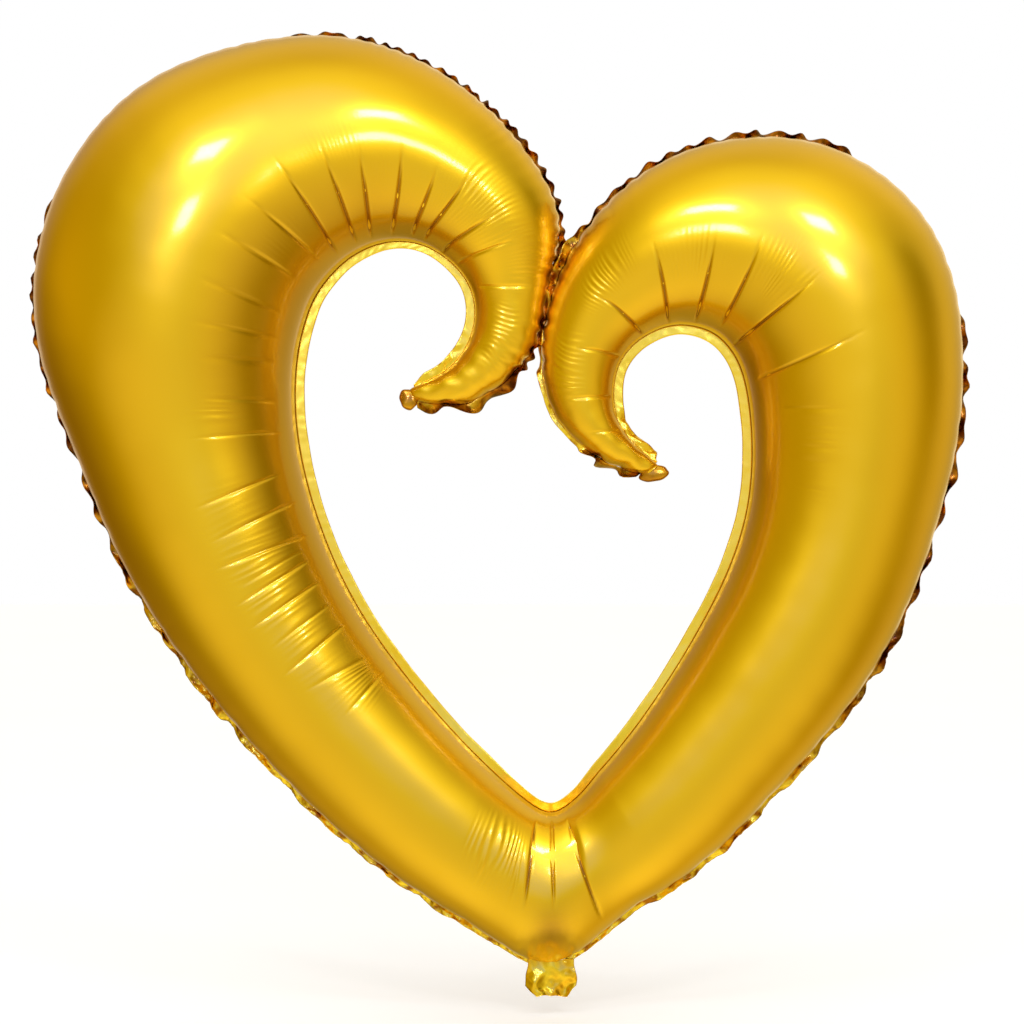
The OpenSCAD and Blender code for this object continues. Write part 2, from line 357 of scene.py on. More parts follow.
def crease_relief(places, share, metre_per_u, creases):
    """How far the creases draw in each point of the panel, and how closed the fold is there, which the
    colour paints as shade.
    """
    relief = np.zeros(places.shape)
    closed = np.zeros(places.shape)
    gap = np.gradient(places, axis=0) * metre_per_u
    for t_a, share_a, t_b, share_b, depth_mm in creases:
        low, high = min(share_a, share_b), max(share_a, share_b)
        u_ends = [tube.place(t_a), tube.place(t_b)]
        slope = (u_ends[1] - u_ends[0]) / (share_b - share_a)
        away = np.abs(places - u_ends[0] - slope * (share - share_a)[None, :]) * metre_per_u
        near = np.nonzero(away.min(axis=1) < 0.045)[0]
        rows = slice(near[0], near[-1] + 1)
        reach = high - low
        ends = smooth(low - 0.04, low + 0.3 * reach, share)
        ends = ends * smooth(high + 0.035, high - 0.10 * reach, share)
        line = np.exp(-(away[rows] / np.maximum(CREASE_LINE, 0.9 * gap[rows])) ** 2)
        dip = np.exp(-away[rows] / CREASE_DIP)
        relief[rows] += depth_mm * MM * ends[None, :] * (0.7 * line + 0.3 * dip)
        core = np.exp(-(away[rows] / np.maximum(CREASE_CORE, 0.75 * gap[rows])) ** 2)
        # How closed the fold is becomes painted shade in the foil's colour.
        closed[rows] = np.maximum(closed[rows], smooth(1.6, 3.0, depth_mm) * core * ends[None, :])
    return relief, closed


def fan_relief(t_grid, share):
    """The film pulled nearly flat between the creases at the point of the heart."""
    x = np.clip((share - 0.42) / 0.46, 0, 1)
    return FAN_DEPTH * (np.sin(math.pi * x) ** 2)[None, :] * window(t_grid, 18.4, 18.6, 19.6, 19.85)


def wrinkle_relief(rng, t_grid, places, share, metre_per_u, wrinkles):
    """Fine wrinkles that run side by side along the rows of the grid."""
    relief = np.zeros(places.shape)
    for t_mid, t_half, share_mid, share_half, pitch_mm, depth_mm in wrinkles:
        patch = bump(t_grid, t_mid, t_half) * bump(share, share_mid, share_half)[None, :]
        middle = np.argmin(np.abs(share - share_mid))
        along = np.cumsum(np.gradient(places[:, middle]) * metre_per_u[:, middle])[:, None]
        drift = 1.8 * waves(rng, along, share[None, :] * 0.08, 0.03)
        strength = 0.8 + 0.4 * waves(rng, along, share[None, :] * 0.1, 0.02)
        phase = 2 * math.pi * along / (pitch_mm * MM) + drift
        relief += depth_mm * MM * patch * strength * (1 - np.abs(np.sin(phase / 2)) * 2)
    return relief


# ---- mesh helpers ----


def new_object(name, points, faces, material):
    mesh = bpy.data.meshes.new(name)
    mesh.from_pydata([tuple(p) for p in points], [], [tuple(f) for f in faces])
    mesh.validate()
    mesh.update()
    mesh.polygons.foreach_set("use_smooth", [True] * len(mesh.polygons))
    mesh.materials.append(material)
    obj = bpy.data.objects.new(name, mesh)
    bpy.context.collection.objects.link(obj)
    return obj


def point_values(obj, name, values):
    """Stores a number on each point for the material to read. Points past the list get 0."""
    padded = np.zeros(len(obj.data.vertices))
    padded[:len(values)] = values
    obj.data.attributes.new(name, "FLOAT", "POINT").data.foreach_set("value", padded)


def grid_faces(rows, cols, start=0, flip=False):
    r, c = np.meshgrid(np.arange(rows - 1), np.arange(cols - 1), indexing="ij")
    a = (r * cols + c + start).ravel()
    quads = np.stack([a, a + 1, a + cols + 1, a + cols], axis=1)
    return quads[:, ::-1] if flip else quads


def shell(top, bottom, flip=False):
    """A closed solid between two grids that have the same rows and may differ in columns."""
    rows, cols = top.shape[:2]
    cols_low = bottom.shape[1]
    start = rows * cols
    points = np.vstack([top.reshape(-1, 3), bottom.reshape(-1, 3)])
    faces = list(grid_faces(rows, cols))
    faces += list(grid_faces(rows, cols_low, start, flip=True))
    for r in range(rows - 1):
        a, b = r * cols, start + r * cols_low
        faces.append((a, a + cols, b + cols_low, b))
        c, d = a + cols - 1, b + cols_low - 1
        faces.append((c + cols, c, d, d + cols_low))
    for r, turned in ((0, False), (rows - 1, True)):
        ring = [r * cols + c for c in range(cols)]
        ring += [start + r * cols_low + c for c in range(cols_low - 1, -1, -1)]
        faces.append(tuple(ring if not turned else ring[::-1]))
    if flip:
        faces = [tuple(f)[::-1] for f in faces]
    return points, faces


# ---- materials ----


def node_material(name):
    material = bpy.data.materials.new(name)
    material.use_nodes = True
    nodes, links = material.node_tree.nodes, material.node_tree.links
    return material, nodes, links, nodes["Principled BSDF"]


def add_noise(nodes, links, place, scale, detail=3.0):
    noise = nodes.new("ShaderNodeTexNoise")
    noise.inputs["Scale"].default_value = scale
    noise.inputs["Detail"].default_value = detail
    links.new(place.outputs["Object"], noise.inputs["Vector"])
    return noise


def two_tone(nodes, links, noise, first, second, low=0.4, high=0.6):
    """A blend from the first colour, where the noise is low, to the second."""
    ramp = nodes.new("ShaderNodeValToRGB")
    ramp.color_ramp.elements[0].position = low
    ramp.color_ramp.elements[0].color = (*first, 1)
    ramp.color_ramp.elements[1].position = high
    ramp.color_ramp.elements[1].color = (*second, 1)
    links.new(noise.outputs["Fac"], ramp.inputs["Fac"])
    return ramp


def vary_gloss(nodes, links, shader, noise, low, high):
    """Roughness that drifts between low and high with the noise."""
    gloss = nodes.new("ShaderNodeMapRange")
    gloss.inputs["To Min"].default_value = low
    gloss.inputs["To Max"].default_value = high
    links.new(noise.outputs["Fac"], gloss.inputs["Value"])
    links.new(gloss.outputs["Result"], shader.inputs["Roughness"])


def add_relief(nodes, links, shader, noise, strength):
    relief = nodes.new("ShaderNodeBump")
    relief.inputs["Strength"].default_value = strength
    relief.inputs["Distance"].default_value = BUMP_DISTANCE
    links.new(noise.outputs["Fac"], relief.inputs["Height"])
    links.new(relief.outputs["Normal"], shader.inputs["Normal"])


def mix_by_attribute(nodes, links, attribute):
    """A colour mix whose share comes from a number stored on the mesh."""
    stored = nodes.new("ShaderNodeAttribute")
    stored.attribute_name = attribute
    mix = nodes.new("ShaderNodeMix")
    mix.data_type = "RGBA"
    links.new(stored.outputs["Fac"], mix.inputs["Factor"])
    return mix


def foil_material(name, light, dark, roughness, rough_swing, bump_scale, bump_strength,
                  tint_scale=3.0, coat=0.25):
    """Metallised foil: a soft drift of tint and gloss, a faint relief from handling, and painted shade where
    the mesh's 'fold' number is high.
    """
    material, nodes, links, shader = node_material(name)
    shader.inputs["Metallic"].default_value = 1.0
    shader.inputs["Coat Weight"].default_value = coat
    shader.inputs["Coat Roughness"].default_value = 0.12
    shader.inputs["Coat IOR"].default_value = 1.7
    place = nodes.new("ShaderNodeTexCoord")
    drift = add_noise(nodes, links, place, tint_scale)
    tint = two_tone(nodes, links, drift, dark, light, 0.32, 0.68)
    # Painted shade: where the mesh's 'fold' number is high, the colour turns to the dark shade tone.
    shaded = mix_by_attribute(nodes, links, "fold")
    shaded.inputs["B"].default_value = (*PAINTED_SHADE_BROWN, 1)
    links.new(tint.outputs["Color"], shaded.inputs["A"])
    links.new(shaded.outputs["Result"], shader.inputs["Base Color"])
    haze = add_noise(nodes, links, place, 14.0, 4.0)
    vary_gloss(nodes, links, shader, haze, roughness - rough_swing, roughness + rough_swing)
    grain = add_noise(nodes, links, place, bump_scale, 5.0)
    add_relief(nodes, links, shader, grain, bump_strength)
    return material


def puckered_material(name):
    """The outer weld: a painted shade, dark with orange patches, on the lobes where it reflects the dark
    room; bright gold along the arms.
    """
    material, nodes, links, shader = node_material(name)
    shader.inputs["Metallic"].default_value = 1.0
    shader.inputs["Coat Weight"].default_value = 0.3
    shader.inputs["Coat Roughness"].default_value = 0.12
    place = nodes.new("ShaderNodeTexCoord")
    patches = add_noise(nodes, links, place, 75)
    # Painted shade of the weld where it reflects the dark room, dark to orange in patches; the 'golden'
    # number brings in the bright gold instead.
    brown = two_tone(nodes, links, patches, (0.10, 0.022, 0.008), (0.66, 0.24, 0.02), 0.44, 0.68)
    golden = two_tone(nodes, links, patches, (0.40, 0.14, 0.01), (1.0, 0.74, 0.12), 0.38, 0.54)
    colour = mix_by_attribute(nodes, links, "golden")
    links.new(brown.outputs["Color"], colour.inputs["A"])
    links.new(golden.outputs["Color"], colour.inputs["B"])
    links.new(colour.outputs["Result"], shader.inputs["Base Color"])
    vary_gloss(nodes, links, shader, patches, 0.15, 0.32)
    grain = add_noise(nodes, links, place, 320, 4.0)
    add_relief(nodes, links, shader, grain, 0.35)
    return material


def valve_material():
    """Thin clear film, a little milky, with faint streaks."""
    material, nodes, links, shader = node_material("valve_film_clear")
    shader.inputs["Roughness"].default_value = 0.2
    shader.inputs["Alpha"].default_value = 0.55
    place = nodes.new("ShaderNodeTexCoord")
    streaks = add_noise(nodes, links, place, 60.0, 2.0)
    milk = two_tone(nodes, links, streaks, (0.78, 0.80, 0.82), (0.95, 0.96, 0.97), 0.0, 1.0)
    links.new(milk.outputs["Color"], shader.inputs["Base Color"])
    return material


satin_gold = foil_material("satin_gold_foil", (0.92, 0.58, 0.014), (0.90, 0.55, 0.010),
                           0.34, 0.02, 900, 0.06, coat=0.9)
inner_weld_gold = foil_material("inner_weld_foil", (1.0, 0.76, 0.12), (1.0, 0.68, 0.08),
                                0.25, 0.03, 300, 0.05, tint_scale=9, coat=0.3)
outer_weld_gold = puckered_material("outer_weld_foil")
tail_gold = foil_material("tail_foil", (1.0, 0.78, 0.12), (0.75, 0.32, 0.01),
                          0.18, 0.03, 300, 0.15, tint_scale=32, coat=0.1)
tip_gold = foil_material("curl_end_foil", (0.65, 0.32, 0.015), (0.38, 0.14, 0.01),
                         0.24, 0.03, 300, 0.15, tint_scale=70, coat=0.5)
valve_clear = valve_material()

# ---- panels ----


def seam_spaced(cols):
    """Angles from the outer seam to the inner one, closer together near both seams."""
    x = np.linspace(0, 1, cols)
    return math.pi * (x - 0.42 * np.sin(2 * math.pi * x) / (2 * math.pi))


def along_tube(values, places):
    """Values that are known at each row of the tube, read at other places along it."""
    return np.interp(places, tube.u, values)


def bare_skin(phi, places, side):
    """The tube's surface with no creases, as a grid of points."""
    c, s = np.cos(phi)[None, :], np.sin(phi)[None, :]
    closing = along_tube(tube.closing, places)
    half_w = along_tube(tube.half_w, places) * (0.55 + 0.45 * closing)
    x, z = [along_tube((tube.outer + tube.inner)[:, k] / 2, places)
            - along_tube(tube.across[:, k], places) * half_w * c for k in (0, 1)]
    funnel = 1 - 0.7 * np.exp(-(x ** 2 + z ** 2) / FUNNEL_RADIUS ** 2)
    depth = along_tube(tube.depth, places) * closing * s * funnel
    return np.stack([x, side * (SEAM_HALF_T + depth), z], axis=2)


def surface_frame(skin, places, side):
    """Outward unit normals of a grid, and how many metres a step along the tube covers."""
    along = np.gradient(skin, axis=0)
    over = np.gradient(skin, axis=1)
    normal = unit(np.cross(along, over))
    if (normal[:, skin.shape[1] // 2, 1].mean() > 0) != (side > 0):
        normal = -normal
    return normal, np.linalg.norm(along, axis=2) / np.gradient(places, axis=0)


def painted_shade_amount(t_grid, share, x, z):
    """How much painted shade darkens the film: on the inner side of the left curl and arm and, less, the
    right curl, where it also stands for the orange reflection of the opposite arm; and in the funnel.
    """
    inner_side = (smooth(0.55, 0.74, share) - 0.4 * smooth(0.85, 0.97, share))[None, :]
    left = 0.40 * window(t_grid, 4.0, 6.5, 14.0, 17.0)
    right = 0.16 * window(t_grid, 21.0, 23.5, 30.0, 33.0)
    funnel = 0.65 * np.exp(-(x / 0.018) ** 2 - ((z - 0.040) / 0.020) ** 2)
    return inner_side * (left + right) + funnel


def panel_skin(side, seed, creases, wrinkles):
    rng = np.random.default_rng(seed)
    phi = seam_spaced(PANEL_COLS)
    share = phi / math.pi
    places = along_creases(share)
    skin = bare_skin(phi, places, side)
    normal, metre_per_u = surface_frame(skin, places, side)
    t_grid = along_tube(tube.t, places)
    radius = (tube.half_w * (1 + PUFF) / 2)[:, None]
    from_outer = phi[None, :] * radius
    from_inner = (math.pi - phi)[None, :] * radius
    x, z = skin[..., 0], skin[..., 2]
    crumple = smooth(4.5, 0.5, t_grid) + smooth(31.5, 35.5, t_grid)
    lumps = 0.00012 * waves(rng, x, z, 0.11) + 0.00006 * waves(rng, x, z, 0.045)
    lumps = lumps + 0.00035 * crumple * waves(rng, x, z, 0.019)
    away_from_seams = smooth(0, 0.02, from_outer) * smooth(0, 0.012, from_inner)
    rise = lumps * away_from_seams
    drawn_in, closed = crease_relief(places, share, metre_per_u, creases)
    at_throat = np.exp(-(np.hypot(x, z) / GATHER_RADIUS) ** 2)
    gathered = 0.0006 * waves(rng, x, z, 0.010) * at_throat * smooth(0, 0.006, from_outer)
    rise += gathered - drawn_in - fan_relief(t_grid, share)
    rise += wrinkle_relief(rng, t_grid, places, share, metre_per_u, wrinkles) * away_from_seams
    notch = np.exp(-(puckers.from_notch / 0.0036) ** 2) * pucker_gain
    reach = 0.013 + 0.005 * jitter_line(rng, tube.outer_run, 0.05)
    rise -= (0.0013 * notch)[:, None] * np.exp(-(from_outer / np.clip(reach, 0.006, 0.03)[:, None]) ** 1.3)
    swell = 0.0009 * (0.4 - puckers.turn ** 2) * pucker_gain
    rise += swell[:, None] * np.exp(-from_outer / 0.016) * smooth(0, 0.006, from_outer)
    skin = skin + normal * rise[..., None]
    near_outer = np.exp(-from_outer / 0.014)
    skin[..., 1] += seam_y[:, None] * near_outer
    pull = (seam_in[:, None] * near_outer)[..., None] * tube.across[:, None, :]
    skin[..., 0] += pull[..., 0]
    skin[..., 2] += pull[..., 1]
    # The closed creases and the painted shade of the inner sides and funnel go to the colour together.
    return skin, np.maximum(closed, painted_shade_amount(t_grid, share, x, z))


def lining(side):
    """The inner face of a panel's film, coarser than the outer one and never seen."""
    phi = seam_spaced(LINING_COLS)
    places = along_creases(phi / math.pi)
    skin = bare_skin(phi, places, side)
    normal, _ = surface_frame(skin, places, side)
    gap = FILM_T + LINING_GAP * np.sin(phi)[None, :]
    gap = np.minimum(gap, 0.3 * along_tube(tube.depth * tube.closing, places) + 0.0001)
    skin = skin - normal * gap[..., None]
    skin[:, 0, 1] += seam_y
    skin[:, 0, 0] += seam_in * tube.across[:, 0] + 0.0005 * tube.across[:, 0]
    skin[:, 0, 2] += seam_in * tube.across[:, 1] + 0.0005 * tube.across[:, 1]
    return skin


def foil_panel(name, node, side, seed, creases, wrinkles):
    skin, closed = panel_skin(side, seed, creases, wrinkles)
    points, faces = shell(skin, lining(side), flip=side > 0)
    obj = new_object(name, points, faces, satin_gold)
    # The 'fold' number carries painted shade: closed creases, the inner sides of the curls, and the funnel.
    point_values(obj, "fold", closed.ravel())
    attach(obj, "balloon")
    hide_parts(node)


def shaken(rng, creases):
    """The same creases moved a little and with other depths, for the panel at the back."""
    moved = []
    for t_a, share_a, t_b, share_b, depth_mm in creases:
        shift = rng.uniform(-0.14, 0.14)
        moved.append((t_a + shift, share_a, t_b + shift, share_b, depth_mm * rng.uniform(0.7, 1.15)))
    return moved


foil_panel("front_foil_panel", "front_panel", -1, 11, CREASES, FINE_WRINKLES)
back_creases = shaken(np.random.default_rng(5), CREASES)
foil_panel("back_foil_panel", "back_panel", 1, 12, back_creases, FINE_WRINKLES)

# ---- welded margins ----


def margin_strip(name, node, root, out, width, bend, crumple, golden, material):
    """A thin welded strip: root line, outward direction, width, bend out of the seam plane,
    crumple, and how much of it shows bright gold rather than painted shade."""
    cols = crumple.shape[1]
    share = np.linspace(0, 1, cols)[None, :]
    angle = bend[:, None] * (0.75 + 0.4 * share)
    step = width[:, None] / (cols - 1)
    reach = np.cumsum(np.cos(angle) * step, axis=1) - np.cos(angle[:, :1]) * step
    lift = np.cumsum(np.sin(angle) * step, axis=1) - np.sin(angle[:, :1]) * step
    reach[:, 0] -= 0.0008
    faces_of_strip = []
    for face in (-1, 1):
        off = crumple * smooth(0, 0.3, share) + face * WELD_HALF_T
        away = reach - off * np.sin(angle)
        y = root[:, None, 1] + lift + off * np.cos(angle)
        faces_of_strip.append(np.stack([root[:, None, 0] + out[:, None, 0] * away, y,
                                        root[:, None, 2] + out[:, None, 1] * away], axis=2))
    solid, faces = shell(*faces_of_strip)
    obj = new_object(name, solid, faces, material)
    # How much of the weld shows bright gold instead of its painted shade.
    point_values(obj, "golden", np.tile(np.repeat(golden, cols), 2))
    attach(obj, "balloon")
    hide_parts(node)


def outer_margin(name, node, rows, seed, laid_back, laid_front, flat, golden):
    """The ruffled outer weld. The last four say where it lies back, leans forward, stands flat
    and shows bright gold rather than painted shade."""
    rng = np.random.default_rng(seed)
    run = tube.outer_run[rows]
    across = tube.across[rows]
    edge = tube.outer[rows] + across * seam_in[rows, None]
    root = np.stack([edge[:, 0], seam_y[rows], edge[:, 1]], axis=1)
    width = MARGIN_W * puckers.size[rows] * (1 + 0.05 * jitter_line(rng, run, 0.02))
    t = tube.t[rows]
    width = width * (1 + 0.7 * smooth(2.4, 1.8, t) + 0.6 * smooth(34.0, 34.4, t)
                     + 0.1 * window(t, 19.8, 21, 23.4, 24) - 0.3 * window(t, 28.6, 29.0, 29.5, 29.8)
                     - 0.2 * window(t, 4.6, 5.2, 7.0, 8.0) - 0.25 * window(t, 11.2, 11.6, 12.8, 13.6)
                     - 0.25 * window(t, 7.0, 7.5, 8.4, 8.8))
    width = width + 0.0045 * laid_front - 0.0016 * flat
    above_throat = np.where(across[:, 1] > 0.1, (edge[:, 1] + 0.0006) / np.maximum(across[:, 1], 0.1), 1)
    width = np.clip(np.minimum(width, above_throat), 0.0006, None)
    ruffle = 1.3 * puckers.turn[rows] * (1 - 0.45 * window(t, 13.5, 15.5, 21.5, 23.5))
    ruffle = ruffle * (1 - 0.85 * np.maximum(flat, laid_front))
    drift = 0.10 * jitter_line(rng, run, 0.07)
    bend = (ruffle + drift) * (1 - laid_back) + 1.42 * laid_back - 0.45 * laid_front
    along = np.linspace(0, 1, MARGIN_COLS)[None, :] * MARGIN_W
    low_down = smooth(0.50, 0.30, edge[:, 1]) * smooth(0, 0.003, width)
    height = 0.0001 + 0.0004 * low_down + 0.0004 * laid_front
    crumple = height[:, None] * waves(rng, run[:, None], along, 0.0085)
    crumple = crumple + (0.0002 * low_down)[:, None] * waves(rng, run[:, None], along, 0.005)
    margin_strip(name, node, root, -across, width, bend, crumple, golden, outer_weld_gold)


def inner_margin(name, node, rows, seed):
    """The smooth inner weld, slack and crumpled only at the ends of the curls."""
    rng = np.random.default_rng(seed)
    run = tube.inner_run[rows]
    t = tube.t[rows]
    edge = tube.inner[rows]
    root = np.stack([edge[:, 0], np.zeros(len(run)), edge[:, 1]], axis=1)
    slack = 0.6 * smooth(3.0, 1.2, t) + smooth(32.0, 33.5, t)
    ending = smooth(-0.001, 0.022, run) * smooth(-0.001, 0.014, run[-1] - run)
    width = INNER_MARGIN_W * (1 + 0.02 * jitter_line(rng, run, 0.06)
                              + 0.06 * slack * jitter_line(rng, run, 0.03))
    width = width * (0.1 + 0.9 * ending) * (1 + 0.3 * smooth(33.2, 34.6, t))
    bend = -0.3 * window(t, 16.5, 18.3, 19.7, 21.5) + 0.05 * jitter_line(rng, run, 0.2)
    bend = bend + 0.20 * slack * jitter_line(rng, run, 0.026)
    along = np.linspace(0, 1, MARGIN_COLS)[None, :] * INNER_MARGIN_W
    crumple = (0.00006 + 0.0005 * slack)[:, None] * waves(rng, run[:, None], along, 0.012)
    margin_strip(name, node, root, tube.across[rows], width, bend, crumple, np.ones(len(rows)),
                 inner_weld_gold)


throat_row = int(np.searchsorted(tube.u, tube.place(POINT_OF_HEART)))
inside_rows = np.nonzero((tube.u >= 0) & (tube.u <= tube.knots[-1]))[0]
left_rows = np.arange(inside_rows[0], throat_row + 1)
right_rows = np.arange(throat_row, inside_rows[-1] + 1)
left_t, right_t = tube.t[left_rows], tube.t[right_rows]
# golden: where the weld shows bright gold; elsewhere it carries painted shade.
outer_margin(
    "left_puckered_margin", "left_outer_seam", left_rows, 21,
    laid_back=0.25 * window(left_t, 3.4, 3.8, 4.9, 5.3) + 0.95 * window(left_t, 8.2, 8.8, 10.9, 11.4),
    laid_front=np.zeros(len(left_t)),
    flat=window(left_t, 18.0, 18.6, 19, 19.5),
    golden=smooth(13.0, 16.0, left_t) + 0.45 * smooth(1.7, 1.2, left_t))
outer_margin(
    "right_puckered_margin", "right_outer_seam", right_rows, 22,
    laid_back=0.8 * window(right_t, 30.7, 30.9, 32.0, 32.3) + 0.95 * window(right_t, 25.0, 25.4, 26.6, 27.0),
    laid_front=window(right_t, 29.7, 30.1, 30.8, 31.1),
    flat=window(right_t, 18.5, 19, 19.4, 20) + window(right_t, 31.9, 32.3, 33.9, 34.2),
    golden=(smooth(23.4, 21.4, right_t) + 0.5 * window(right_t, 29.4, 29.8, 31.0, 31.5)
            + window(right_t, 31.0, 31.5, 34.0, 34.8) + 0.3 * smooth(34, 34.8, right_t)))
inner_margin("inner_smooth_margin", "inner_seam", inside_rows, 23)

# ---- end tabs of the curls ----


def pad_points(rng, centre, along, across, radius):
    """The front and then the back of a small crumpled pad: a hub, and rings of points round it."""
    angle = np.linspace(0, 2 * math.pi, TAB_SPOKES, endpoint=False)[None, :]
    r = np.linspace(0, 1, TAB_RINGS)[1:, None]
    outline = 1 + 0.05 * np.sin(3 * angle + rng.uniform(0, 6))
    outline = outline + 0.02 * np.sin(7 * angle + rng.uniform(0, 6))
    a = radius * r * outline * np.cos(angle)
    b = radius * 1.15 * r * outline * np.sin(angle)
    thickness = 0.0042 * np.sqrt(1 - r ** 2) + 0.0003 + 0 * a
    lumps = 0.0004 * waves(rng, a, b, 0.014)
    warp = 0.0007 * waves(rng, a, b, 0.018) * r
    x = centre[0] + along[0] * a + across[0] * b
    z = centre[1] + along[1] * a + across[1] * b
    points = []
    for face in (-1, 1):
        y = face * (thickness + 0.3 * lumps) + warp + 0.5 * lumps
        hub = [centre[0], face * 0.0045, centre[1]]
        points += [hub] + list(np.stack([x, y, z], axis=2).reshape(-1, 3))
    return points


def pad_faces():
    """The faces of that pad: a fan round each hub, rings of quads, and the rim between them."""
    per_face = 1 + (TAB_RINGS - 1) * TAB_SPOKES
    faces = []
    for face, start in ((-1, 0), (1, per_face)):
        for s in range(TAB_SPOKES):
            n = (s + 1) % TAB_SPOKES
            tri = [start, start + 1 + s, start + 1 + n]
            faces.append(tri if face < 0 else tri[::-1])
            for k in range(TAB_RINGS - 2):
                p = start + 1 + k * TAB_SPOKES
                q = p + TAB_SPOKES
                quad = [p + s, q + s, q + n, p + n]
                faces.append(quad if face < 0 else quad[::-1])
    rim = 1 + (TAB_RINGS - 2) * TAB_SPOKES
    rim_back = per_face + rim
    for s in range(TAB_SPOKES):
        n = (s + 1) % TAB_SPOKES
        faces.append([rim + n, rim + s, rim_back + s, rim_back + n])
    return faces


def tip_tab(name, node, row, direction, radius, drop, seed):
    """The small crumpled pad of welded foil that closes the end of a curl."""
    across = tube.across[row]
    along = unit((tube.outer + tube.inner)[row] - (tube.outer + tube.inner)[row - direction * 3])
    middle = (tube.outer[row] + tube.inner[row]) / 2
    centre = middle + along * (radius - 0.002) - across * drop
    points = pad_points(np.random.default_rng(seed), centre, along, across, radius)
    obj = new_object(name, points, pad_faces(), tip_gold)
    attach(obj, "balloon")
    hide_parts(node)


tip_tab("left_curl_end_tab", "left_tip_tab", inside_rows[0], -1, radius=0.0092, drop=0.005, seed=31)
tip_tab("right_curl_end_tab", "right_tip_tab", inside_rows[-1], 1, radius=0.0112, drop=0.003, seed=32)

# ---- filling tail ----


def tail_warp(points):
    """Crumples the flat tail: pleats gathered at the throat, soft dents, and a wavy mouth."""
    rng = np.random.default_rng(TAIL_SEED)
    x, y, z = points[..., 0], points[..., 1], points[..., 2]
    drop = np.clip((tail_hi[2] - z) / (tail_hi[2] - tail_lo[2]), -0.2, 1)
    gather = 1 - 0.04 * (1 - smooth(0, 0.45, drop))
    pleat = -0.0009 * np.cos(x / 0.0036 + 0.6 * np.sin(z / 0.011)) * (1 - smooth(-0.1, 0.5, drop))
    dents = 0.0024 * waves(rng, x, z, 0.026) * smooth(0.05, 0.5, drop)
    fine = 0.0003 * waves(rng, x, z, 0.009) * smooth(0.0, 0.3, drop)
    fine = fine + 0.0035 * smooth(0.009, 0.021, np.abs(x + 0.004 * drop)) * smooth(0.1, 0.5, drop)
    moved_x = x * gather + 0.0009 * waves(rng, x, z, 0.02) * drop
    moved_z = z + 0.0009 * waves(rng, x, z, 0.015) * smooth(0.4, 1, drop)
    return np.stack([moved_x, y + pleat + dents + fine, moved_z], axis=-1)


def tail_half_width(z):
    """Half the tail's width at height z, with its narrow fold and its cut corners."""
    low = tail_lo[2]
    half = (tail_hi[0] - tail_lo[0]) / 2
    from_fold = np.clip((tail_hi[2] - z) / (tail_hi[2] - low - TAIL_CORNER), 0, 1)
    side = half - TAIL_WAIST * (1 - from_fold)
    cut = np.clip((low + TAIL_CORNER - z) / TAIL_CORNER, 0, 1)
    return side - TAIL_CORNER * cut


def tail_piece(name, node, y_low, y_high, x_low, x_high, z_top, material, slot, puffed=0.0):
    """A flat film of the tail as a fine slab, crumpled with the others."""
    rows, cols = 40, 56
    z = np.linspace(z_top, tail_lo[2], rows)[:, None]
    half = tail_half_width(z)
    left, right = np.maximum(x_low, -half), np.minimum(x_high, half)
    x = left + (right - left) * np.linspace(0, 1, cols)[None, :]
    z = z + 0 * x
    belly = puffed * (1 - (x / 0.026) ** 2).clip(0, 1) * np.clip((z_top - z) / 0.01, 0, 1)
    front = tail_warp(np.stack([x, y_low + belly, z], axis=2))
    back = tail_warp(np.stack([x, y_high + belly, z], axis=2))
    points, faces = shell(front, back)
    obj = new_object(name, points, faces, material)
    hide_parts(node)
    return obj


def bend_at_throat(obj):
    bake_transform(obj)


# More than half the tail's width, so that its own outline cuts the film.
wide = 0.03
# How far the tail's foil runs up past the fold into the throat.
above_fold = 0.003
valve_half = (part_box("tail_valve_front_film")[1][0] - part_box("tail_valve_front_film")[0][0]) / 2
front_y = (tail_lo[1], tail_hi[1])
back_y = (tail_back_lo[1], tail_back_hi[1])
weld_y = (tail_hi[1], tail_back_lo[1])
bend_at_throat(tail_piece("tail_front_foil", "tail_front_film", *front_y, -wide, wide, above_fold,
                          tail_gold, "gold_foil", -0.0012))
bend_at_throat(tail_piece("tail_back_foil", "tail_back_film", *back_y, -wide, wide, above_fold,
                          tail_gold, "gold_foil", 0.0012))
# The tail's edge welds set no 'golden' number, so they carry the weld's painted shade all over.
for side_name, low, high in (("left", -wide, -valve_half), ("right", valve_half, wide)):
    weld = tail_piece(f"tail_{side_name}_edge_weld", f"tail_{side_name}_weld", *weld_y, low, high,
                      tail_hi[2] - 0.002, outer_weld_gold, "welded_foil")
    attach(weld, "tail")
for face_name, y_low, y_high in (("front", weld_y[0], -0.00005), ("back", 0.00005, weld_y[1])):
    ply = tail_piece(f"tail_valve_{face_name}_ply", f"tail_valve_{face_name}_film", y_low, y_high,
                     -valve_half, valve_half, tail_hi[2] - 0.001, valve_clear, "valve_film")
    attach(ply, "tail")
for node in ("valve_front_film", "valve_back_film"):
    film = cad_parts[node]
    for material_slot in film.material_slots:
        material_slot.material = valve_clear

# ---- floor, light and camera ----


